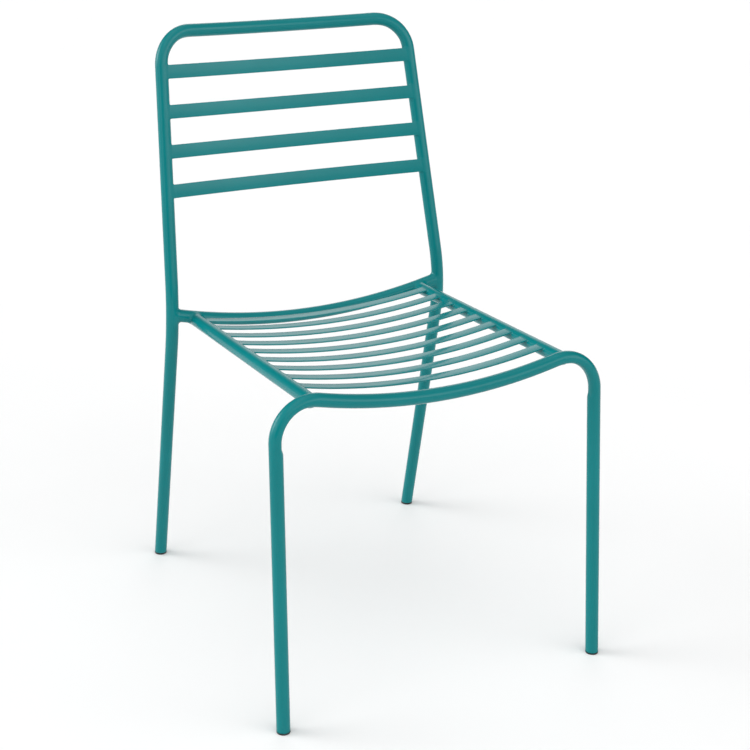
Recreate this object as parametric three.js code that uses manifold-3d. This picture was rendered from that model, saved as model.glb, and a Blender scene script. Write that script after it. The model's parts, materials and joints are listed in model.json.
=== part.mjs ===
// Stacking chair of bent steel tube, with a slatted seat and back of thin steel strip.
// Millimetres. +Z is up, the chair faces -Y and X runs across it. Depths are measured
// backward from the front feet until the last step, which centres the chair on its origin.
import * as THREE from 'three';
import { mergeVertices } from 'three/addons/utils/BufferGeometryUtils.js';
import Module from 'manifold-3d';

const wasm = await Module();
wasm.setup();

// Stock the chair is made from
const TUBE_RADIUS = 9.5;
const TUBE_WALL = 1.5;
const STRIP_THICKNESS = 2;
const JOINT_GAP = 0.3;
// A tube that butts against another stops this far short of the other's centre line
const BUTT_SHORT = 3;

// Front frame: one tube bent into both front legs and the dished front rail.
// Heights are measured up the plane of the frame, which leans backward.
const FRONT_LEAN = 5.7;
const FRONT_FOOT_X = 247;
const FRONT_CORNER_X = 241;
const FRONT_CORNER_HEIGHT = 472;
const FRONT_CORNER_BEND = 52;
const FRONT_DISH_HEIGHT = 417.5;
const FRONT_DISH_BEND = 800;

// Back frame: one tube bent into both rear legs, both uprights and the top bar
const REAR_LEG_X = 225;
const REAR_FOOT_DEPTH = 547;
const KNEE_DEPTH = 462;
const KNEE_HEIGHT = 433;
const KNEE_BEND = 240;
const BACK_RECLINE = 14.2;
const BACK_HEIGHT = 416;
const TOP_CORNER_X = 199;
const TOP_CORNER_BEND = 53;
const TOP_BAR_SWEEP = 13.4;
const TOP_BAR_BEND = 640;

// Dished rail across the rear legs, at the back of the seat
const CROSS_RAIL_DEPTH = 468;
const CROSS_RAIL_HEIGHT = 435.5;
const CROSS_RAIL_DISH_BEND = 880;

// Straight rails along both sides of the seat, from the cross rail to the front rail
const SIDE_RAIL_X = 190;
const SIDE_RAIL_FRONT = { depth: 46 + BUTT_SHORT, height: 455.5 };
const SIDE_RAIL_REAR = { depth: CROSS_RAIL_DEPTH - BUTT_SHORT, height: 425.5 };

// Strips across the back, counted from the top; curved to the sitter
const BACK_SLATS = 4;
const BACK_SLAT_WIDTH = 20;
const BACK_SLAT_PITCH = 57.5;
const FIRST_BACK_SLAT_DROP = 58;
const BACK_CURVE_RADIUS = 700;

// Strips across the seat, counted from the front; they sag between the side rails
const SEAT_SLATS = 9;
const SEAT_SLAT_WIDTH = 19;
const SEAT_SLAT_PITCH = 42.5;
const FIRST_SEAT_SLAT_DEPTH = 93;
const SEAT_SLAT_BELOW_CREST = 1.4;
const SEAT_SAG_FRONT = 20.3;
const SEAT_SAG_REAR = 16.4;

// Plastic plugs in the four leg ends: a head the leg stands on and a stem in the bore
const PLUG_HEAD = 3;
const PLUG_STEM_RADIUS = 7.4;
const PLUG_STEM_LENGTH = 16;

// Fineness of the flat-sided model
const TUBE_SIDES = 16;
const ARC_SEGMENTS = 6;
const DEGREES_PER_STEP = 11;
const FEWEST_BEND_STEPS = 4;

// Working sizes: how far a leg is swept past the floor before it is cut level, how wide the
// cutting slab is, and how much a bend that fills its tube is eased so that it ends inside it
const PAST_FLOOR = 12;
const SLAB_WIDTH = 2000;
const BEND_EASE = 1;

const TEAL = 0x2f8486;
const BLACK = 0x1a1b1c;

const radians = THREE.MathUtils.degToRad;
const chair = new THREE.Group();
chair.name = 'stacking_chair';

// ---------------------------------------------------------------- paths and profiles

// Centre line of a bent tube. Each corner is a point and the radius the tube is bent to
// there; the first and last corners are the tube's ends and have no bend.
class BentPath extends THREE.Curve {
  constructor(corners) {
    super();
    this.stations = [];
    corners.forEach((corner, i) => {
      const before = corners[i - 1];
      const after = corners[i + 1];
      if (before && after) {
        this.addBend(before.at, corner.at, after.at, corner.bend);
      } else {
        const along = before ? corner.at.clone().sub(before.at) : after.at.clone().sub(corner.at);
        this.stations.push({ point: corner.at.clone(), tangent: along.normalize() });
      }
    });
  }

  addBend(before, at, after, bend) {
    const arriving = at.clone().sub(before).normalize();
    const leaving = after.clone().sub(at).normalize();
    const turn = arriving.angleTo(leaving);
    const reach = bend * Math.tan(turn / 2);
    const start = at.clone().addScaledVector(arriving, -reach);
    const inward = leaving.clone().addScaledVector(arriving, -leaving.dot(arriving)).normalize();
    const steps = Math.max(FEWEST_BEND_STEPS, Math.ceil(THREE.MathUtils.radToDeg(turn) / DEGREES_PER_STEP));
    for (let step = 0; step <= steps; step += 1) {
      const turned = (turn * step) / steps;
      const point = start.clone()
        .addScaledVector(arriving, bend * Math.sin(turned))
        .addScaledVector(inward, bend * (1 - Math.cos(turned)));
      const tangent = arriving.clone().multiplyScalar(Math.cos(turned))
        .addScaledVector(inward, Math.sin(turned));
      this.stations.push({ point, tangent });
    }
  }

  get steps() {
    return this.stations.length - 1;
  }

  getUtoTmapping(u) {
    return u;
  }

  getPoint(t) {
    return this.stations[Math.round(t * this.steps)].point.clone();
  }

  getTangent(t) {
    return this.stations[Math.round(t * this.steps)].tangent.clone();
  }
}

function polygon(radius) {
  const points = [];
  for (let side = 0; side < TUBE_SIDES; side += 1) {
    const angle = (2 * Math.PI * side) / TUBE_SIDES;
    points.push(new THREE.Vector2(radius * Math.cos(angle), radius * Math.sin(angle)));
  }
  return points;
}

function sweep(path, radius, boreRadius = 0) {
  const profile = new THREE.Shape(polygon(radius));
  if (boreRadius > 0) {
    profile.holes.push(new THREE.Path(polygon(boreRadius)));
  }
  return new THREE.ExtrudeGeometry(profile, { steps: path.steps, extrudePath: path });
}

function tube(path) {
  return solidOf(sweep(path, TUBE_RADIUS, TUBE_RADIUS - TUBE_WALL));
}

// What is cut out of a part so that it meets a tube on this path with the joint gap
function clearance(path) {
  return solidOf(sweep(path, TUBE_RADIUS + JOINT_GAP));
}

// A thin strip bent to an arc about a centre on the local Y axis, extruded along local Z.
// The arc runs from -halfSpan to +halfSpan in X; innerRadius is its concave face.
function arcStrip(innerRadius, centreY, halfSpan, side, width) {
  const half = Math.asin(halfSpan / innerRadius);
  const middle = (side * Math.PI) / 2;
  const outerRadius = innerRadius + STRIP_THICKNESS;
  const outline = new THREE.Shape();
  outline.absarc(0, centreY, outerRadius, middle - half, middle + half, false);
  outline.absarc(0, centreY, innerRadius, middle + half, middle - half, true);
  const settings = { depth: width, bevelEnabled: false, curveSegments: ARC_SEGMENTS };
  return new THREE.ExtrudeGeometry(outline, settings).translate(0, 0, -width / 2);
}

// ---------------------------------------------------------------- solids and parts

function solidOf(geometry) {
  const bare = new THREE.BufferGeometry();
  bare.setAttribute('position', geometry.getAttribute('position'));
  bare.setIndex(geometry.getIndex());
  const merged = mergeVertices(bare, 1e-4);
  return new wasm.Manifold(new wasm.Mesh({
    numProp: 3,
    vertProperties: new Float32Array(merged.getAttribute('position').array),
    triVerts: new Uint32Array(merged.getIndex().array),
  }));
}

function geometryOf(solid) {
  const mesh = solid.getMesh();
  const geometry = new THREE.BufferGeometry();
  geometry.setAttribute('position', new THREE.BufferAttribute(mesh.vertProperties, 3));
  geometry.setIndex(new THREE.BufferAttribute(mesh.triVerts, 1));
  geometry.computeVertexNormals();
  return geometry;
}

function addPart(name, solid, finish) {
  const mesh = new THREE.Mesh(geometryOf(solid), new THREE.MeshStandardMaterial(finish));
  mesh.name = name;
  chair.add(mesh);
}

const powderCoat = { color: TEAL, roughness: 0.42, metalness: 0 };
const plugPlastic = { color: BLACK, roughness: 0.6, metalness: 0 };

// Everything between two heights above the floor
function slab(bottom, top) {
  const box = new THREE.BoxGeometry(SLAB_WIDTH, SLAB_WIDTH, top - bottom);
  return solidOf(box.translate(0, 0, (bottom + top) / 2));
}

// ---------------------------------------------------------------- centre lines

const vector = (x, y, z) => new THREE.Vector3(x, y, z);
const sides = [['left', -1], ['right', 1]];

// A point in the leaning plane of the front frame
function onFrontFrame(x, height) {
  const lean = radians(FRONT_LEAN);
  return vector(x, height * Math.sin(lean), height * Math.cos(lean));
}

// A point by its height up the reclined back from the knees and its offset behind the uprights
function onBack(x, height, behind = 0) {
  const recline = radians(BACK_RECLINE);
  const y = KNEE_DEPTH + height * Math.sin(recline) + behind * Math.cos(recline);
  const z = KNEE_HEIGHT + height * Math.cos(recline) - behind * Math.sin(recline);
  return vector(x, y, z);
}

// A leg is swept on past the floor, so that it can be cut level
function pastFloor(foot, above) {
  const drop = above.clone().sub(foot).normalize().multiplyScalar(-PAST_FLOOR);
  return foot.clone().add(drop);
}

const frontFoot = (side) => vector(side * FRONT_FOOT_X, 0, 0);
const frontCorner = (side) => onFrontFrame(side * FRONT_CORNER_X, FRONT_CORNER_HEIGHT);
const rearFoot = (side) => vector(side * REAR_LEG_X, REAR_FOOT_DEPTH, 0);
const knee = (side) => vector(side * REAR_LEG_X, KNEE_DEPTH, KNEE_HEIGHT);

const frontPath = new BentPath([
  { at: pastFloor(frontFoot(-1), frontCorner(-1)) },
  { at: frontCorner(-1), bend: FRONT_CORNER_BEND },
  { at: onFrontFrame(0, FRONT_DISH_HEIGHT), bend: FRONT_DISH_BEND },
  { at: frontCorner(1), bend: FRONT_CORNER_BEND },
  { at: pastFloor(frontFoot(1), frontCorner(1)) },
]);

const topBarBehind = TOP_CORNER_X * Math.tan(radians(TOP_BAR_SWEEP));
const backPath = new BentPath([
  { at: pastFloor(rearFoot(-1), knee(-1)) },
  { at: knee(-1), bend: KNEE_BEND },
  { at: onBack(-TOP_CORNER_X, BACK_HEIGHT), bend: TOP_CORNER_BEND },
  { at: onBack(0, BACK_HEIGHT, topBarBehind), bend: TOP_BAR_BEND },
  { at: onBack(TOP_CORNER_X, BACK_HEIGHT), bend: TOP_CORNER_BEND },
  { at: knee(1), bend: KNEE_BEND },
  { at: pastFloor(rearFoot(1), knee(1)) },
]);

// The cross rail is one arc from leg to leg: its tangents at both ends meet below the middle
const crossRailX = REAR_LEG_X - BUTT_SHORT;
const crossRailEnd = (side) => vector(side * crossRailX, CROSS_RAIL_DEPTH, CROSS_RAIL_HEIGHT);
const crossRailSlope = Math.asin(crossRailX / CROSS_RAIL_DISH_BEND);
const crossRailMiddle = CROSS_RAIL_HEIGHT - crossRailX * Math.tan(crossRailSlope);
const crossRailPath = new BentPath([
  { at: crossRailEnd(-1) },
  { at: vector(0, CROSS_RAIL_DEPTH, crossRailMiddle), bend: CROSS_RAIL_DISH_BEND - BEND_EASE },
  { at: crossRailEnd(1) },
]);

function sideRailPath(side) {
  return new BentPath([
    { at: vector(side * SIDE_RAIL_X, SIDE_RAIL_FRONT.depth, SIDE_RAIL_FRONT.height) },
    { at: vector(side * SIDE_RAIL_X, SIDE_RAIL_REAR.depth, SIDE_RAIL_REAR.height) },
  ]);
}

// ---------------------------------------------------------------- tube parts

const aboveFeet = slab(PLUG_HEAD + JOINT_GAP, 2 * KNEE_HEIGHT + BACK_HEIGHT);
const frontClearance = clearance(frontPath);
const backClearance = clearance(backPath);
const crossRailClearance = clearance(crossRailPath);

addPart('front_frame_tube', tube(frontPath).intersect(aboveFeet), powderCoat);
addPart('back_frame_tube', tube(backPath).intersect(aboveFeet), powderCoat);
addPart('rear_cross_rail', tube(crossRailPath).subtract(backClearance), powderCoat);

for (const [hand, side] of sides) {
  const rail = tube(sideRailPath(side)).subtract(frontClearance).subtract(crossRailClearance);
  addPart(`side_rail_${hand}`, rail, powderCoat);
}

// ---------------------------------------------------------------- seat and back strips

const railClearances = sides.map(([, side]) => clearance(sideRailPath(side)));
const seatRun = SIDE_RAIL_REAR.depth - SIDE_RAIL_FRONT.depth;
const seatSlope = Math.atan((SIDE_RAIL_FRONT.height - SIDE_RAIL_REAR.height) / seatRun);

function seatSlat(number) {
  const depth = FIRST_SEAT_SLAT_DEPTH + (number - 1) * SEAT_SLAT_PITCH;
  const along = (number - 1) / (SEAT_SLATS - 1);
  const sag = THREE.MathUtils.lerp(SEAT_SAG_FRONT, SEAT_SAG_REAR, along);
  const radius = (SIDE_RAIL_X ** 2 + sag ** 2) / (2 * sag);
  const middle = TUBE_RADIUS - SEAT_SLAT_BELOW_CREST - sag;
  const strip = arcStrip(radius, middle + radius, SIDE_RAIL_X, -1, SEAT_SLAT_WIDTH);
  strip.rotateX(Math.PI / 2 - seatSlope);
  const drop = (depth - SIDE_RAIL_FRONT.depth) * Math.tan(seatSlope);
  strip.translate(0, depth, SIDE_RAIL_FRONT.height - drop);
  return railClearances.reduce((solid, cut) => solid.subtract(cut), solidOf(strip));
}

for (let number = 1; number <= SEAT_SLATS; number += 1) {
  addPart(`seat_slat_${number}`, seatSlat(number), powderCoat);
}

// The concave front face of each strip is level with the front of the uprights
function backSlat(number) {
  const height = BACK_HEIGHT - FIRST_BACK_SLAT_DROP - (number - 1) * BACK_SLAT_PITCH;
  const uprightX = THREE.MathUtils.lerp(REAR_LEG_X, TOP_CORNER_X, height / BACK_HEIGHT);
  const centre = -Math.sqrt(BACK_CURVE_RADIUS ** 2 - uprightX ** 2);
  const radius = BACK_CURVE_RADIUS - TUBE_RADIUS;
  const strip = arcStrip(radius, centre, uprightX, 1, BACK_SLAT_WIDTH);
  strip.rotateX(-radians(BACK_RECLINE));
  const middle = onBack(0, height);
  strip.translate(middle.x, middle.y, middle.z);
  return solidOf(strip).subtract(backClearance);
}

for (let number = 1; number <= BACK_SLATS; number += 1) {
  addPart(`back_slat_${number}`, backSlat(number), powderCoat);
}

// ---------------------------------------------------------------- foot plugs

function footPlug(foot, above) {
  const up = above.clone().sub(foot).normalize();
  const head = new BentPath([{ at: pastFloor(foot, above) }, { at: above }]);
  const stemStart = foot.clone().addScaledVector(up, PLUG_HEAD / 2);
  const stemEnd = foot.clone().addScaledVector(up, PLUG_HEAD + PLUG_STEM_LENGTH);
  const stem = new BentPath([{ at: stemStart }, { at: stemEnd }]);
  return solidOf(sweep(head, TUBE_RADIUS))
    .intersect(slab(0, PLUG_HEAD))
    .add(solidOf(sweep(stem, PLUG_STEM_RADIUS)));
}

for (const [hand, side] of sides) {
  addPart(`foot_plug_front_${hand}`, footPlug(frontFoot(side), frontCorner(side)), plugPlastic);
  addPart(`foot_plug_rear_${hand}`, footPlug(rearFoot(side), knee(side)), plugPlastic);
}

// ---------------------------------------------------------------- origin

// The origin lies on the floor, under the middle of the whole chair
const centre = new THREE.Box3().setFromObject(chair).getCenter(vector(0, 0, 0));
for (const part of chair.children) {
  part.position.set(-centre.x, -centre.y, 0);
}

export default chair;
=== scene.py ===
"""Looks of the stacking chair: fine bent tubes, strips, welds and foot plugs with their finishes.

Metres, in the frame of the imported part: +Z up, the chair faces -Y, the floor is Z = 0.
"""

import json
from collections import namedtuple
from math import asin, atan, ceil, cos, pi, radians, sin, sqrt, tan

import bpy
from mathutils import Matrix, Vector


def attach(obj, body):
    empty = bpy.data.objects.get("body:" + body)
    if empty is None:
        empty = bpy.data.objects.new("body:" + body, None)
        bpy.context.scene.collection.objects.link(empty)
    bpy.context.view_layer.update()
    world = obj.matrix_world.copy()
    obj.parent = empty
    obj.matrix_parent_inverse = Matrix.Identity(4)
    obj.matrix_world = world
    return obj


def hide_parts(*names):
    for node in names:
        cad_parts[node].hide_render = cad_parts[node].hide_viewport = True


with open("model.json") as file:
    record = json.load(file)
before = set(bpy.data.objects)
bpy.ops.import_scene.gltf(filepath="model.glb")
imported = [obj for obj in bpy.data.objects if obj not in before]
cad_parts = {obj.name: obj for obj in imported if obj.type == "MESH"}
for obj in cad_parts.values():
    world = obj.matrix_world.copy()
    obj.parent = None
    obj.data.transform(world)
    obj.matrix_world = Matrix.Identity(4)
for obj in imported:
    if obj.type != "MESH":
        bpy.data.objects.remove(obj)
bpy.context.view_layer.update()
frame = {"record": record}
mounts = {mount["name"]: Vector(mount["pos_m"]) for mount in frame["record"]["mounts"]}

MM = 0.001

# Each side of X = 0 by name, as seen by someone in front of the chair
HANDS = {-1: "left", 1: "right"}

# Stock
TUBE_RADIUS = 9.5 * MM
TUBE_WALL = 1.5 * MM
STRIP_THICKNESS = 2 * MM
# Rails end this far short of the centre line of the tube they butt against
BUTT_SHORT = 3 * MM

# Front frame, in heights up its leaning plane
FRONT_LEAN = radians(5.7)
FRONT_CORNER_X = 241 * MM
FRONT_CORNER_HEIGHT = 472 * MM
FRONT_CORNER_BEND = 52 * MM
FRONT_DISH_HEIGHT = 417.5 * MM
FRONT_DISH_BEND = 800 * MM

# Back frame; depths are measured backward from the front feet
KNEE_DEPTH = 462 * MM
KNEE_HEIGHT = 433 * MM
KNEE_BEND = 240 * MM
BACK_RECLINE = radians(14.2)
BACK_HEIGHT = 416 * MM
TOP_CORNER_X = 199 * MM
TOP_CORNER_BEND = 53 * MM
TOP_BAR_SWEEP = radians(13.4)
TOP_BAR_BEND = 640 * MM

# Rails under the seat
CROSS_RAIL_DEPTH = 468 * MM
CROSS_RAIL_HEIGHT = 435.5 * MM
CROSS_RAIL_RADIUS = 879 * MM
SIDE_RAIL_X = 190 * MM
SIDE_RAIL_FRONT_DEPTH = 46 * MM + BUTT_SHORT
SIDE_RAIL_FRONT_HEIGHT = 455.5 * MM
SIDE_RAIL_REAR_DEPTH = CROSS_RAIL_DEPTH - BUTT_SHORT
SIDE_RAIL_REAR_HEIGHT = 425.5 * MM

# Strips of the back and the seat
BACK_SLATS = 4
BACK_SLAT_WIDTH = 20 * MM
BACK_SLAT_PITCH = 57.5 * MM
FIRST_BACK_SLAT_DROP = 58 * MM
BACK_CURVE_RADIUS = 700 * MM
SEAT_SLATS = 9
SEAT_SLAT_WIDTH = 19 * MM
SEAT_SLAT_PITCH = 42.5 * MM
FIRST_SEAT_SLAT_DEPTH = 93 * MM
SEAT_SLAT_BELOW_CREST = 1.4 * MM
SEAT_SAG_FRONT = 20.3 * MM
SEAT_SAG_REAR = 16.4 * MM
STRIP_EDGE_ROUNDING = 0.55 * MM
STRIP_EMBED = 0.6 * MM
# A strip's arc stops this far inside its host tubes' centre lines; its end rings slide on to them
STRIP_ARC_INSET = 2 * TUBE_RADIUS

# Foot plugs
PLUG_HEAD = 3 * MM
PLUG_GAP = 0.3 * MM
PLUG_STEM_RADIUS = 7.4 * MM
PLUG_STEM_LENGTH = 16 * MM
PLUG_EDGE = 0.9 * MM
TUBE_END_ROUNDING = 0.4 * MM

# Bends tighter than TIGHT_BEND are pressed in on the inside of the curve by the bending tool's grip
TIGHT_BEND = 100 * MM
Press = namedtuple("Press", "depth past_foot_end foot_fade past_far_end far_fade")
FRONT_PRESS = Press(2.5 * MM, 14 * MM, 9 * MM, -2 * MM, 34 * MM)
TOP_PRESS = Press(1.0 * MM, 4 * MM, 26 * MM, -4 * MM, 26 * MM)

# Weld beads; a leg is how far one reaches over each surface, and bulge 0 is hollow and 1 is full
Weld = namedtuple("Weld", "leg bulge")
CROSS_RAIL_WELD = Weld(3.8 * MM, 0.15)
SIDE_RAIL_FRONT_WELD = Weld(1.2 * MM, 0.3)
SIDE_RAIL_REAR_WELD = Weld(3.6 * MM, 0.6)
STRIP_WELD = Weld(2.4 * MM, 0.1)
WELD_CROWN = 0.12
WELD_ROOT_DEPTH = 0.6 * MM
# Where a weld runs along tubes that meet side by side it lies along them as a low bead
GRAZING_SHARE = 0.05
# The search for the tube starts this far back from the branch's end
TUBE_WELD_SETBACK = 4 * TUBE_RADIUS
STRIP_WELD_SETBACK = 4 * STRIP_WELD.leg

# Fineness of the meshes
TUBE_SIDES = 56
TIGHT_STEP = 1.6 * MM
WIDE_STEP = 9 * MM
STRIP_STEPS = 72
CORNER_STEPS = 4
WELD_SIDES = 64
WELD_STEPS = 8
SHARP_ANGLE = radians(50)

# A point slides on to a tube over this reach, in steps of which the last is then halved
SLIDE_REACH = 8 * TUBE_RADIUS
SLIDE_STEPS = 40
SLIDE_HALVINGS = 16
# Only this much of the tube, to each side of the joint, is looked at
HOST_REACH = 60 * MM

# Finishes, in linear colours. Noise has scale cells per metre with detail octaves in them. A
# texture spreads it from from_low..from_high to low..high, and a relief makes bumps of it.
Texture = namedtuple("Texture", "scale detail low high from_low from_high", defaults=(0.3, 0.7))
Relief = namedtuple("Relief", "scale detail strength depth")

COAT_DARK = (0.0010, 0.168, 0.177, 1)
COAT_LIGHT = (0.0014, 0.186, 0.196, 1)
COAT_SPECK = (0.004, 0.212, 0.223, 1)
COAT_WORN = (0.020, 0.240, 0.250, 1)
COAT_CLOUDS = Texture(7, 2, 0, 1)
COAT_SPECKS = Texture(900, 1, 0, 0.35, 0.55, 0.8)
COAT_RUBBING = Texture(60, 3, 0, 0.55)
COAT_ROUGHNESS = Texture(30, 3, 0.16, 0.21)
COAT_ROUGHNESS_WHERE_WORN = -0.05
COAT_PEEL = Relief(420, 2, 0.12, 0.05 * MM)
COAT_GRAIN = Relief(2200, 1, 0.15, 0.02 * MM)
COAT_SPECULAR = 0.2

PLUG_BLACK = (0.012, 0.012, 0.013, 1)
PLUG_DUST = (0.045, 0.045, 0.046, 1)
PLUG_SCUFFS = Texture(160, 4, 0, 0.6, 0.5, 0.75)
PLUG_ROUGHNESS = Texture(300, 2, 0.48, 0.66)
PLUG_GRAIN = Relief(1500, 2, 0.4, 0.05 * MM)

FLOOR_WHITES = ((0.90, 0.90, 0.90, 1), (0.92, 0.92, 0.92, 1))
FLOOR_CLOUDS = Texture(1.5, 2, 0, 1)
FLOOR_ROUGHNESS = 0.9
FLOOR_SPECULAR = 0.1

# Studio. A panel's azimuth, in degrees, is 0 in front of the chair and 90 at its +X side
FLOOR_RADIUS = 40
FLOOR_SIDES = 96
WHITE = (1, 1, 1, 1)
BACKDROP_STRENGTH = 0.95
Panel = namedtuple("Panel", "azimuth elevation strength tightness")
PANELS = [
    Panel(-120, 20, 8.56, 20),
    Panel(-72, 20, 2.44, 20),
    Panel(0, 20, 1.5, 20),
    Panel(26, 20, 2.12, 20),
    Panel(50, 20, 2.86, 20),
    Panel(150, 20, 1.95, 20),
    Panel(-30, 52, 1.3, 12),
    Panel(0, 90, 1.45, 6),
]

# Camera: turned to its right of +Y, pitched down and rolled, in radians; lens and sensor in mm
CAMERA_PLACE = Vector((-1.00690, -2.02240, 1.28387))
CAMERA_TURN = 0.47324
CAMERA_PITCH = 0.38490
CAMERA_ROLL = 0.02656
CAMERA_LENS = 79.48
CAMERA_SENSOR = 36

# ------------------------------------------------------------------ centre lines

FRONT_Y = mounts["foot_front_left"].y
REAR_FOOT_X = mounts["foot_rear_right"].x

# A corner is where two straight runs would meet, and bend is the radius that rounds it off
Corner = namedtuple("Corner", "at bend", defaults=(0,))
# A run is one straight or one bend; inward points to the bend's centre
Run = namedtuple("Run", "begins point along inward bend length")
# A station is a point of a centre line, with how far its wall is pressed in on the inward side
Station = namedtuple("Station", "point along pressed_in inward", defaults=(0, Vector()))


def on_front_frame(x, height):
    """A point of the leaning front frame by its height up that plane."""
    return Vector((x, FRONT_Y + height * sin(FRONT_LEAN), height * cos(FRONT_LEAN)))


def on_back(x, height, behind=0):
    """A point by its height up the reclined back from the knees and its offset behind it."""
    y = FRONT_Y + KNEE_DEPTH + height * sin(BACK_RECLINE) + behind * cos(BACK_RECLINE)
    z = KNEE_HEIGHT + height * cos(BACK_RECLINE) - behind * sin(BACK_RECLINE)
    return Vector((x, y, z))


def smooth(value):
    """0 to 1 with level ends."""
    value = min(max(value, 0), 1)
    return value * value * (3 - 2 * value)


def runs_between(corners):
    """The straight runs and bends along a tube; its first and last corners are its ends."""
    runs = []
    here, begins = corners[0].at, 0
    for before, corner, after in zip(corners, corners[1:], corners[2:]):
        arriving = (corner.at - before.at).normalized()
        leaving = (after.at - corner.at).normalized()
        turn = arriving.angle(leaving)
        reach = corner.bend * tan(turn / 2)
        start = corner.at - arriving * reach
        inward = (leaving - arriving * leaving.dot(arriving)).normalized()
        for run in (Run(begins, here, arriving, Vector(), 0, (start - here).length),
                    Run(0, start, arriving, inward, corner.bend, corner.bend * turn)):
            runs.append(run._replace(begins=begins))
            begins += run.length
        here = corner.at + leaving * reach
    last = corners[-1].at - here
    runs.append(Run(begins, here, last.normalized(), Vector(), 0, last.length))
    return runs


def on_run(run, distance):
    """Point, direction and the way to the bend's centre, at a distance along the whole tube."""
    gone = distance - run.begins
    if not run.bend:
        return run.point + run.along * gone, run.along, run.inward
    turned = gone / run.bend
    point = (run.point + run.along * (run.bend * sin(turned))
             + run.inward * (run.bend * (1 - cos(turned))))
    return (point, run.along * cos(turned) + run.inward * sin(turned),
            run.inward * cos(turned) - run.along * sin(turned))


def pressed(bend, press, distance, total):
    """How far a tight bend's inner wall is pressed in at a distance along the tube.

    The grip runs on a little past the bend toward the foot, over a short fade on the front
    frame, where it leaves a step. At the far end it has faded out before the bend is over.
    """
    past_start = distance - bend.begins
    past_end = distance - bend.begins - bend.length
    # The tube's second half runs down to its other foot
    if bend.begins > total / 2:
        past_start, past_end = -past_end, -past_start
    return (press.depth * smooth((past_start + press.past_foot_end) / press.foot_fade)
            * smooth((press.past_far_end - past_end) / press.far_fade))


def centre_line(corners, press=None):
    """Stations along a bent tube, closer together where it bends or is pressed."""
    runs = runs_between(corners)
    total = runs[-1].begins + runs[-1].length
    tight = [run for run in runs if 0 < run.bend < TIGHT_BEND]
    stations = []
    for run in runs:
        step = WIDE_STEP
        near_bend = any(abs(run.begins - bend.begins - bend.length) < WIDE_STEP
                        or abs(run.begins + run.length - bend.begins) < WIDE_STEP
                        for bend in tight)
        if run in tight or near_bend:
            step = TIGHT_STEP
        count = max(1, ceil(run.length / step))
        for i in range(count + (run is runs[-1])):
            distance = run.begins + run.length * i / count
            point, along, inward = on_run(run, distance)
            deepest = 0
            for bend in tight:
                depth = pressed(bend, press, distance, total)
                if depth > deepest:
                    held = min(max(distance, bend.begins), bend.begins + bend.length)
                    deepest, inward = depth, on_run(bend, held)[2]
            stations.append(Station(point, along, deepest, inward))
    return stations


front_corner = {side: on_front_frame(side * FRONT_CORNER_X, FRONT_CORNER_HEIGHT) for side in HANDS}
knee = {side: Vector((side * REAR_FOOT_X, FRONT_Y + KNEE_DEPTH, KNEE_HEIGHT)) for side in HANDS}

front_line = centre_line([
    Corner(mounts["foot_front_left"]),
    Corner(front_corner[-1], FRONT_CORNER_BEND),
    Corner(on_front_frame(0, FRONT_DISH_HEIGHT), FRONT_DISH_BEND),
    Corner(front_corner[1], FRONT_CORNER_BEND),
    Corner(mounts["foot_front_right"]),
], FRONT_PRESS)

back_line = centre_line([
    Corner(mounts["foot_rear_left"]),
    Corner(knee[-1], KNEE_BEND),
    Corner(on_back(-TOP_CORNER_X, BACK_HEIGHT), TOP_CORNER_BEND),
    Corner(on_back(0, BACK_HEIGHT, TOP_CORNER_X * tan(TOP_BAR_SWEEP)), TOP_BAR_BEND),
    Corner(on_back(TOP_CORNER_X, BACK_HEIGHT), TOP_CORNER_BEND),
    Corner(knee[1], KNEE_BEND),
    Corner(mounts["foot_rear_right"]),
], TOP_PRESS)


def cross_rail_line():
    """One arc from leg to leg, lowest in the middle."""
    end_x = REAR_FOOT_X - BUTT_SHORT
    slope = asin(end_x / CROSS_RAIL_RADIUS)
    centre_z = CROSS_RAIL_HEIGHT + CROSS_RAIL_RADIUS * cos(slope)
    count = ceil(2 * end_x / WIDE_STEP)
    stations = []
    for i in range(count + 1):
        angle = slope * (2 * i / count - 1)
        point = Vector((CROSS_RAIL_RADIUS * sin(angle), FRONT_Y + CROSS_RAIL_DEPTH,
                        centre_z - CROSS_RAIL_RADIUS * cos(angle)))
        stations.append(Station(point, Vector((cos(angle), 0, sin(angle)))))
    return stations


def side_rail_line(side):
    """A straight run from the front rail back to the cross rail."""
    front = Vector((side * SIDE_RAIL_X, FRONT_Y + SIDE_RAIL_FRONT_DEPTH, SIDE_RAIL_FRONT_HEIGHT))
    rear = Vector((side * SIDE_RAIL_X, FRONT_Y + SIDE_RAIL_REAR_DEPTH, SIDE_RAIL_REAR_HEIGHT))
    return centre_line([Corner(front), Corner(rear)])


cross_line = cross_rail_line()
side_line = {side: side_rail_line(side) for side in HANDS}

# ------------------------------------------------------------------ meshes

# Name of the attribute that tells a finish how worn each point is
WORN = "worn"
# A tube whose direction has more than this share of Y runs nearly along Y
NEARLY_ALONG = 0.9


def skin(rings, looped=False, rubbed=lambda ring, i: 0):
    """A closed surface through rings of equally many points, as (vertices, faces, worn shares).

    looped joins the last ring to the first; otherwise both ends are capped. rubbed says how
    worn point i of a ring is, from 0 to 1.
    """
    sides = len(rings[0])
    vertices = [point for ring in rings for point in ring]
    faces = []
    for low in range(len(rings) if looped else len(rings) - 1):
        high = (low + 1) % len(rings)
        for i in range(sides):
            j = (i + 1) % sides
            faces.append((low * sides + i, low * sides + j, high * sides + j, high * sides + i))
    if not looped:
        last = (len(rings) - 1) * sides
        faces.append(tuple(reversed(range(sides))))
        faces.append(tuple(range(last, last + sides)))
    worn = [rubbed(ring, i) for ring in range(len(rings)) for i in range(sides)]
    return vertices, faces, worn


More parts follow.
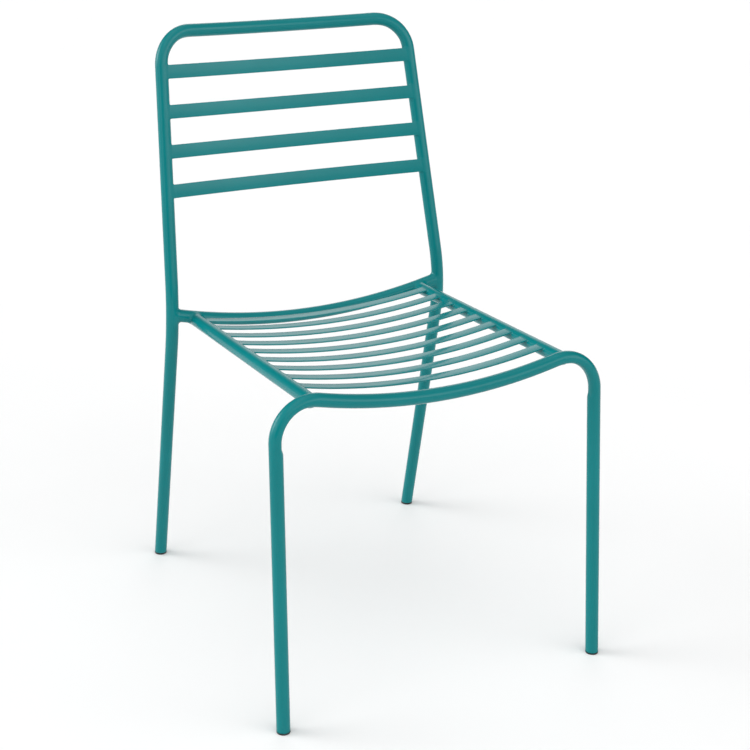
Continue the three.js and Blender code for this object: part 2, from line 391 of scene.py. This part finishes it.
def add_piece(name, parts, material, slot, *nodes):
    """An object made of closed surfaces, which rides on the chair and stands for the CAD nodes."""
    vertices, faces, worn = [], [], []
    for part_vertices, part_faces, part_worn in parts:
        start = len(vertices)
        vertices += part_vertices
        faces += [tuple(start + i for i in face) for face in part_faces]
        worn += part_worn
    mesh = bpy.data.meshes.new(name)
    mesh.from_pydata(vertices, [], faces)
    mesh.attributes.new(WORN, "FLOAT", "POINT").data.foreach_set("value", worn)
    mesh.materials.append(material)
    mesh.shade_smooth()
    mesh.set_sharp_from_angle(angle=SHARP_ANGLE)
    piece = bpy.data.objects.new(name, mesh)
    bpy.context.scene.collection.objects.link(piece)
    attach(piece, "root")
    if nodes:
        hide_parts(*nodes)


def carried_frames(stations):
    """A pair of cross directions at each station, carried along without twist."""
    along = stations[0].along
    across = along.cross(Vector((0, 1, 0)) if abs(along.y) < NEARLY_ALONG else Vector((1, 0, 0)))
    frames = []
    for station in stations:
        across = (across - station.along * across.dot(station.along)).normalized()
        frames.append((across.copy(), station.along.cross(across)))
    return frames


def circle_directions(cross_pair, sides=TUBE_SIDES):
    """Unit vectors round a tube, from its pair of cross directions."""
    first, second = cross_pair
    return [first * cos(2 * pi * i / sides) + second * sin(2 * pi * i / sides)
            for i in range(sides)]


def pressed_radius(direction, station):
    """The tube's radius in a direction, less where a tight bend is pressed in on its inside."""
    facing = max(direction.dot(station.inward), 0)
    return TUBE_RADIUS - station.pressed_in * facing ** 2


def tube_ring(station, cross_pair):
    """The tube's outline at a station."""
    return [station.point + d * pressed_radius(d, station) for d in circle_directions(cross_pair)]


def level_ring(foot, along, cross_pair, radius, height):
    """Where a round of this radius about a leaning leg crosses a level height."""
    ring = []
    for direction in circle_directions(cross_pair):
        point = foot + direction * radius
        ring.append(point + along * ((height - point.z) / along.z))
    return ring


def leg_end_rings(foot, along, cross_pair):
    """Rings of an open leg end, from deep in its bore out round its rounded rim."""
    bore = TUBE_RADIUS - TUBE_WALL
    bottom = PLUG_HEAD + PLUG_GAP
    rings = [level_ring(foot, along, cross_pair, bore, bottom + PLUG_STEM_LENGTH)]
    rings.append(level_ring(foot, along, cross_pair, bore, bottom))
    for step in range(CORNER_STEPS + 1):
        angle = pi / 2 * step / CORNER_STEPS
        radius = TUBE_RADIUS - TUBE_END_ROUNDING * (1 - sin(angle))
        height = bottom + TUBE_END_ROUNDING * (1 - cos(angle))
        rings.append(level_ring(foot, along, cross_pair, radius, height))
    return rings


def legged_tube(stations):
    """A bent tube whose two ends stand on foot plugs."""
    frames = carried_frames(stations)
    body = [tube_ring(s, f) for s, f in zip(stations[1:-1], frames[1:-1])]
    first = leg_end_rings(stations[0].point, stations[0].along, frames[0])
    last = leg_end_rings(stations[-1].point, stations[-1].along, frames[-1])
    ends = len(first)
    count = 2 * ends + len(body)

    def rubbed(ring, i):
        """Whole on the rims of both legs, and gone by the first ring of the tube between them."""
        return 1 if ring < ends or ring >= count - ends else 0

    return skin(first + body + last[::-1], rubbed=rubbed)


def plain_tube(stations):
    """A tube whose ends are buried in the tubes it is welded to."""
    return skin([tube_ring(s, f) for s, f in zip(stations, carried_frames(stations))])


def strip_outline(width):
    """Points (across, up) round a strip's section, which has rounded edges."""
    rounding = STRIP_EDGE_ROUNDING
    outline = []
    corners = ((1, 1), (-1, 1), (-1, -1), (1, -1))
    for number, (across, up) in enumerate(corners):
        centre_across = across * (width / 2 - rounding)
        centre_up = up * (STRIP_THICKNESS / 2 - rounding)
        for step in range(CORNER_STEPS + 1):
            angle = pi / 2 * (number + step / CORNER_STEPS)
            outline.append((centre_across + rounding * cos(angle),
                            centre_up + rounding * sin(angle)))
    return outline


def distance_to_line(point, stations):
    """Distance from a point to a sampled centre line, and the nearest point on it."""
    best = None
    for start, end in zip(stations, stations[1:]):
        run = end.point - start.point
        share = min(max((point - start.point).dot(run) / run.length_squared, 0), 1)
        nearest = start.point + run * share
        gap = (point - nearest).length
        if best is None or gap < best[0]:
            best = (gap, nearest)
    return best


def near(stations, point):
    """The part of a centre line around a point."""
    return [s for s in stations if (s.point - point).length < HOST_REACH]


def slide_to_tube(point, direction, host, radius):
    """Where a point moving along a direction first meets a tube about the host line.

    If it passes by without meeting it, this is where it comes closest.
    """
    gaps = [distance_to_line(point + direction * (SLIDE_REACH * i / SLIDE_STEPS), host)[0]
            for i in range(SLIDE_STEPS + 1)]
    inside = next((i for i, gap in enumerate(gaps) if gap < radius), None)
    if inside is None:
        closest = gaps.index(min(gaps))
        return point + direction * (SLIDE_REACH * closest / SLIDE_STEPS)
    low, high = SLIDE_REACH * (inside - 1) / SLIDE_STEPS, SLIDE_REACH * inside / SLIDE_STEPS
    for _ in range(SLIDE_HALVINGS):
        middle = (low + high) / 2
        if distance_to_line(point + direction * middle, host)[0] < radius:
            high = middle
        else:
            low = middle
    return point + direction * high


# A strip runs along X; its arc's centre lies up from its middle, and its width is across
Strip = namedtuple("Strip", "middle across up radius half_span width hosts")


def bent_strip(strip):
    """Rings along a strip bent to an arc, with its ends run into the two host tubes."""
    outline = strip_outline(strip.width)
    half_turn = asin(strip.half_span / strip.radius)
    rings = []
    for step in range(STRIP_STEPS + 1):
        angle = half_turn * (2 * step / STRIP_STEPS - 1)
        normal = strip.up * cos(angle) - Vector((1, 0, 0)) * sin(angle)
        centre = strip.middle + strip.up * strip.radius - normal * strip.radius
        rings.append([centre + strip.across * a + normal * u for a, u in outline])
    for ring, host, way in ((rings[0], strip.hosts[0], -1), (rings[-1], strip.hosts[1], 1)):
        along = Vector((cos(half_turn), 0, 0)) * way + strip.up * sin(half_turn)
        for i, point in enumerate(ring):
            ring[i] = slide_to_tube(point, along, host, TUBE_RADIUS - STRIP_EMBED)
    return rings


def weld_ring(branch_points, branch_normals, into, host, weld):
    """A bead round a branch where it meets a tube, as a closed ring.

    Each cross-section is a curve from the branch's surface to the tube's, closed by a point
    inside the joint.
    """
    rings = []
    for point, normal in zip(branch_points, branch_normals):
        root = slide_to_tube(point, into, host, TUBE_RADIUS)
        _gap, nearest = distance_to_line(root, host)
        host_normal = (root - nearest).normalized()
        sideways = normal - host_normal * normal.dot(host_normal)
        outward = (sideways + into * GRAZING_SHARE).normalized()
        on_branch = root - into * weld.leg
        on_host = root + outward * weld.leg
        _gap, nearest = distance_to_line(on_host, host)
        on_host = nearest + (on_host - nearest).normalized() * TUBE_RADIUS
        crown = (normal + host_normal).normalized() * weld.leg * WELD_CROWN
        control = root.lerp((on_branch + on_host) / 2, weld.bulge) + crown
        section = []
        for step in range(WELD_STEPS + 1):
            t = step / WELD_STEPS
            section.append(on_branch * (1 - t) ** 2 + control * 2 * t * (1 - t) + on_host * t ** 2)
        section.append(root - (normal + host_normal) * WELD_ROOT_DEPTH)
        rings.append(section)
    return skin(rings, looped=True)


# ------------------------------------------------------------------ materials


# The Mix node's sockets that carry colours
MIX_COLOURS = (6, 7)
MIX_RESULT = 2


def new_material(name):
    """A material with its node tree, its shader and the place on the object to shade by."""
    material = bpy.data.materials.new(name)
    material.use_nodes = True
    tree = material.node_tree
    tree.nodes.clear()
    output = tree.nodes.new("ShaderNodeOutputMaterial")
    shader = tree.nodes.new("ShaderNodeBsdfPrincipled")
    tree.links.new(shader.outputs["BSDF"], output.inputs["Surface"])
    place = tree.nodes.new("ShaderNodeTexCoord")
    return material, tree, shader, place.outputs["Object"]


def feed(tree, socket, value):
    """Give an input a plain value, or link another node's output to it."""
    if isinstance(value, bpy.types.NodeSocket):
        tree.links.new(value, socket)
    else:
        socket.default_value = value


def calculate(tree, operation, *values):
    """A math node's result."""
    node = tree.nodes.new("ShaderNodeMath")
    node.operation = operation
    for socket, value in zip(node.inputs, values):
        feed(tree, socket, value)
    return node.outputs["Value"]


def noise(tree, place, scale, detail):
    """Noise with so many cells per metre, and octaves of finer noise in it."""
    node = tree.nodes.new("ShaderNodeTexNoise")
    node.inputs["Scale"].default_value = scale
    node.inputs["Detail"].default_value = detail
    tree.links.new(place, node.inputs["Vector"])
    return node.outputs["Fac"]


def spread(tree, place, texture):
    """A texture's noise, spread to run from its low to its high."""
    node = tree.nodes.new("ShaderNodeMapRange")
    node.inputs["From Min"].default_value = texture.from_low
    node.inputs["From Max"].default_value = texture.from_high
    node.inputs["To Min"].default_value = texture.low
    node.inputs["To Max"].default_value = texture.high
    tree.links.new(noise(tree, place, texture.scale, texture.detail), node.inputs["Value"])
    return node.outputs["Result"]


def blend_colours(tree, share, first, second):
    """From the first colour to the second by share; each is a colour or a socket."""
    node = tree.nodes.new("ShaderNodeMix")
    node.data_type = "RGBA"
    tree.links.new(share, node.inputs["Factor"])
    for number, colour in zip(MIX_COLOURS, (first, second)):
        feed(tree, node.inputs[number], colour)
    return node.outputs[MIX_RESULT]


def bump(tree, place, relief, under=None):
    """The shading normal of a relief, laid over the one under it."""
    node = tree.nodes.new("ShaderNodeBump")
    node.inputs["Strength"].default_value = relief.strength
    node.inputs["Distance"].default_value = relief.depth
    tree.links.new(noise(tree, place, relief.scale, relief.detail), node.inputs["Height"])
    if under is not None:
        tree.links.new(under, node.inputs["Normal"])
    return node.outputs["Normal"]


def powder_coat():
    """Satin teal powder coat: faint orange peel, fine grain, slight changes of shade.

    It lies thinner over sharp edges and the rims of the legs, which rub a little shinier.
    """
    material, tree, shader, place = new_material("powder_coat")
    shade = blend_colours(tree, spread(tree, place, COAT_CLOUDS), COAT_DARK, COAT_LIGHT)
    shade = blend_colours(tree, spread(tree, place, COAT_SPECKS), shade, COAT_SPECK)
    worn = tree.nodes.new("ShaderNodeAttribute")
    worn.attribute_name = WORN
    patchy = calculate(tree, "MULTIPLY", worn.outputs["Fac"], spread(tree, place, COAT_RUBBING))
    colour = blend_colours(tree, patchy, shade, COAT_WORN)
    tree.links.new(colour, shader.inputs["Base Color"])
    roughness = calculate(tree, "MULTIPLY_ADD", patchy, COAT_ROUGHNESS_WHERE_WORN,
                          spread(tree, place, COAT_ROUGHNESS))
    tree.links.new(roughness, shader.inputs["Roughness"])
    grain = bump(tree, place, COAT_GRAIN, bump(tree, place, COAT_PEEL))
    tree.links.new(grain, shader.inputs["Normal"])
    shader.inputs["Specular IOR Level"].default_value = COAT_SPECULAR
    return material


def plug_plastic():
    """Matt black moulded plastic with a fine moulded grain and dusty scuffs."""
    material, tree, shader, place = new_material("foot_plug_plastic")
    colour = blend_colours(tree, spread(tree, place, PLUG_SCUFFS), PLUG_BLACK, PLUG_DUST)
    tree.links.new(colour, shader.inputs["Base Color"])
    tree.links.new(spread(tree, place, PLUG_ROUGHNESS), shader.inputs["Roughness"])
    tree.links.new(bump(tree, place, PLUG_GRAIN), shader.inputs["Normal"])
    return material


def floor_finish():
    """Smooth white studio floor with the faintest unevenness."""
    material, tree, shader, place = new_material("studio_floor")
    colour = blend_colours(tree, spread(tree, place, FLOOR_CLOUDS), *FLOOR_WHITES)
    tree.links.new(colour, shader.inputs["Base Color"])
    shader.inputs["Roughness"].default_value = FLOOR_ROUGHNESS
    shader.inputs["Specular IOR Level"].default_value = FLOOR_SPECULAR
    return material


coat = powder_coat()
plastic = plug_plastic()

# ------------------------------------------------------------------ tubes

add_piece("front_frame", [legged_tube(front_line)], coat, "powder_coat", "front_frame_tube")
add_piece("back_frame", [legged_tube(back_line)], coat, "powder_coat", "back_frame_tube")
add_piece("cross_rail", [plain_tube(cross_line)], coat, "powder_coat", "rear_cross_rail")

for side, hand in HANDS.items():
    add_piece(f"side_rail_{hand}_tube", [plain_tube(side_line[side])], coat, "powder_coat",
              f"side_rail_{hand}")


def tube_weld(stations, at_start, host_line, weld):
    """The weld round one end of a tube, on the tube that it butts against."""
    pair = carried_frames(stations)[0 if at_start else -1]
    station = stations[0 if at_start else -1]
    into = -station.along if at_start else station.along
    away = station.point - into * TUBE_WELD_SETBACK
    directions = circle_directions(pair, WELD_SIDES)
    points = [away + d * TUBE_RADIUS for d in directions]
    return weld_ring(points, directions, into, near(host_line, station.point), weld)


cross_welds = [tube_weld(cross_line, at_start, back_line, CROSS_RAIL_WELD)
               for at_start in (True, False)]
add_piece("cross_rail_welds", cross_welds, coat, "powder_coat")
for side, hand in HANDS.items():
    welds = [tube_weld(side_line[side], True, front_line, SIDE_RAIL_FRONT_WELD),
             tube_weld(side_line[side], False, cross_line, SIDE_RAIL_REAR_WELD)]
    add_piece(f"side_rail_{hand}_welds", welds, coat, "powder_coat")

# ------------------------------------------------------------------ strips


def strip_weld(ring, host, into):
    """The weld round one end of a strip, on the tube it runs into."""
    middle = sum(ring, Vector()) / len(ring)
    normals = []
    for i, point in enumerate(ring):
        tangent = ring[(i + 1) % len(ring)] - ring[i - 1]
        normal = tangent.cross(into).normalized()
        normals.append(normal if normal.dot(point - middle) > 0 else -normal)
    points = [point - into * STRIP_WELD_SETBACK for point in ring]
    return weld_ring(points, normals, into, host, STRIP_WELD)


def strip_rubbed(_ring, i):
    """A strip is worn on its rounded edges and not on its flats."""
    return 1 if 0 < i % (CORNER_STEPS + 1) < CORNER_STEPS else 0


def strip_parts(strip):
    """A bent strip and the small welds at its two ends."""
    rings = bent_strip(strip)
    parts = [skin(rings, rubbed=strip_rubbed)]
    for ring, inner, host in zip((rings[0], rings[-1]), (rings[1], rings[-2]), strip.hosts):
        into = sum((outer - point for outer, point in zip(ring, inner)), Vector()).normalized()
        parts.append(strip_weld(ring, host, into))
    return parts


def add_back_slat(number):
    """A strip between the uprights, bowed backward; the first is the uppermost."""
    height = BACK_HEIGHT - FIRST_BACK_SLAT_DROP - (number - 1) * BACK_SLAT_PITCH
    share = height / BACK_HEIGHT
    upright_x = REAR_FOOT_X + (TOP_CORNER_X - REAR_FOOT_X) * share
    radius = BACK_CURVE_RADIUS - TUBE_RADIUS + STRIP_THICKNESS / 2
    behind = radius - sqrt(BACK_CURVE_RADIUS ** 2 - upright_x ** 2)
    middle = on_back(0, height, behind)
    across = (on_back(0, 1) - on_back(0, 0)).normalized()
    forward = (on_back(0, 0) - on_back(0, 0, 1)).normalized()
    hosts = [near(back_line, on_back(side * upright_x, height)) for side in HANDS]
    strip = Strip(middle, across, forward, radius, upright_x - STRIP_ARC_INSET,
                  BACK_SLAT_WIDTH, hosts)
    add_piece(f"back_strip_{number}", strip_parts(strip), coat, "powder_coat",
              f"back_slat_{number}")


for number in range(1, BACK_SLATS + 1):
    add_back_slat(number)


def add_seat_slat(number):
    """A strip between the side rails, sagging in its middle; the first is the foremost."""
    depth = FIRST_SEAT_SLAT_DEPTH + (number - 1) * SEAT_SLAT_PITCH
    share = (number - 1) / (SEAT_SLATS - 1)
    sag = SEAT_SAG_FRONT + (SEAT_SAG_REAR - SEAT_SAG_FRONT) * share
    face_radius = (SIDE_RAIL_X ** 2 + sag ** 2) / (2 * sag)
    radius = face_radius + STRIP_THICKNESS / 2
    run = SIDE_RAIL_REAR_DEPTH - SIDE_RAIL_FRONT_DEPTH
    slope = atan((SIDE_RAIL_FRONT_HEIGHT - SIDE_RAIL_REAR_HEIGHT) / run)
    across = Vector((0, cos(slope), -sin(slope)))
    up = Vector((0, sin(slope), cos(slope)))
    rail_height = SIDE_RAIL_FRONT_HEIGHT - (depth - SIDE_RAIL_FRONT_DEPTH) * tan(slope)
    on_rails = Vector((0, FRONT_Y + depth, rail_height))
    middle = on_rails + up * (TUBE_RADIUS - SEAT_SLAT_BELOW_CREST - sag - STRIP_THICKNESS / 2)
    strip = Strip(middle, across, up, radius, SIDE_RAIL_X - STRIP_ARC_INSET,
                  SEAT_SLAT_WIDTH, [side_line[side] for side in HANDS])
    add_piece(f"seat_strip_{number}", strip_parts(strip), coat, "powder_coat",
              f"seat_slat_{number}")


for number in range(1, SEAT_SLATS + 1):
    add_seat_slat(number)

# ------------------------------------------------------------------ foot plugs


def foot_plug(foot, along):
    """A head the leg stands on, round at its lower edge, and the stem up the leg's bore."""
    pair = carried_frames([Station(foot, along)])[0]
    rings = []
    for step in range(CORNER_STEPS + 1):
        angle = pi / 2 * step / CORNER_STEPS
        rings.append(level_ring(foot, along, pair, TUBE_RADIUS - PLUG_EDGE * (1 - sin(angle)),
                                PLUG_EDGE * (1 - cos(angle))))
    rings.append(level_ring(foot, along, pair, TUBE_RADIUS, PLUG_HEAD - TUBE_END_ROUNDING / 2))
    rings.append(level_ring(foot, along, pair, TUBE_RADIUS - TUBE_END_ROUNDING / 2, PLUG_HEAD))
    rings.append(level_ring(foot, along, pair, PLUG_STEM_RADIUS, PLUG_HEAD))
    rings.append(level_ring(foot, along, pair, PLUG_STEM_RADIUS, PLUG_HEAD + PLUG_STEM_LENGTH))
    return skin(rings)


for side, hand in HANDS.items():
    for end, above in (("front", front_corner[side]), ("rear", knee[side])):
        foot = mounts[f"foot_{end}_{hand}"]
        plug = foot_plug(foot, (above - foot).normalized())
        add_piece(f"plug_{end}_{hand}", [plug], plastic, "foot_plug", f"foot_plug_{end}_{hand}")

# ------------------------------------------------------------------ studio


def add_floor():
    """A wide round floor at Z = 0."""
    ring = [Vector((FLOOR_RADIUS * cos(2 * pi * i / FLOOR_SIDES),
                    FLOOR_RADIUS * sin(2 * pi * i / FLOOR_SIDES), 0)) for i in range(FLOOR_SIDES)]
    mesh = bpy.data.meshes.new("floor")
    mesh.from_pydata(ring, [], [tuple(range(FLOOR_SIDES))])
    mesh.materials.append(floor_finish())
    floor = bpy.data.objects.new("floor", mesh)
    bpy.context.scene.collection.objects.link(floor)


def toward(azimuth, elevation):
    """Unit direction from the chair to an azimuth and elevation."""
    a, e = radians(azimuth), radians(elevation)
    return Vector((sin(a) * cos(e), -cos(a) * cos(e), sin(e)))


def panel_light(tree, direction, panel):
    """Strength of one soft panel in a direction; it falls off smoothly from its middle."""
    facing = tree.nodes.new("ShaderNodeVectorMath")
    facing.operation = "DOT_PRODUCT"
    facing.inputs[1].default_value = toward(panel.azimuth, panel.elevation)
    tree.links.new(direction, facing.inputs[0])
    toward_it = calculate(tree, "MAXIMUM", facing.outputs["Value"], 0)
    return calculate(tree, "MULTIPLY", calculate(tree, "POWER", toward_it, panel.tightness),
                     panel.strength)


def add_studio_light():
    """Soft panels round the chair; the camera itself sees an even white backdrop."""
    world = bpy.data.worlds.new("studio")
    world.use_nodes = True
    tree = world.node_tree
    direction = tree.nodes.new("ShaderNodeTexCoord").outputs["Generated"]
    total = 0
    for panel in PANELS:
        total = calculate(tree, "ADD", total, panel_light(tree, direction, panel))
    room = tree.nodes["Background"]
    room.inputs["Color"].default_value = WHITE
    tree.links.new(total, room.inputs["Strength"])
    backdrop = tree.nodes.new("ShaderNodeBackground")
    backdrop.inputs["Color"].default_value = WHITE
    backdrop.inputs["Strength"].default_value = BACKDROP_STRENGTH
    seen = tree.nodes.new("ShaderNodeLightPath")
    choice = tree.nodes.new("ShaderNodeMixShader")
    tree.links.new(seen.outputs["Is Camera Ray"], choice.inputs["Fac"])
    tree.links.new(room.outputs["Background"], choice.inputs[1])
    tree.links.new(backdrop.outputs["Background"], choice.inputs[2])
    tree.links.new(choice.outputs["Shader"], tree.nodes["World Output"].inputs["Surface"])
    bpy.context.scene.world = world


def add_camera():
    """The camera at the photograph's viewing angle."""
    forward = Vector((sin(CAMERA_TURN) * cos(CAMERA_PITCH), cos(CAMERA_TURN) * cos(CAMERA_PITCH),
                      -sin(CAMERA_PITCH)))
    level = Vector((cos(CAMERA_TURN), -sin(CAMERA_TURN), 0))
    upward = level.cross(forward)
    right = level * cos(CAMERA_ROLL) + upward * sin(CAMERA_ROLL)
    up = upward * cos(CAMERA_ROLL) - level * sin(CAMERA_ROLL)
    data = bpy.data.cameras.new("camera")
    data.lens = CAMERA_LENS
    data.sensor_width = CAMERA_SENSOR
    camera = bpy.data.objects.new("camera", data)
    turn = Matrix((right, up, -forward)).transposed().to_4x4()
    camera.matrix_world = Matrix.Translation(CAMERA_PLACE) @ turn
    bpy.context.scene.collection.objects.link(camera)
    bpy.context.scene.camera = camera


add_floor()
add_studio_light()
add_camera()
bpy.context.scene.view_settings.view_transform = "Standard"
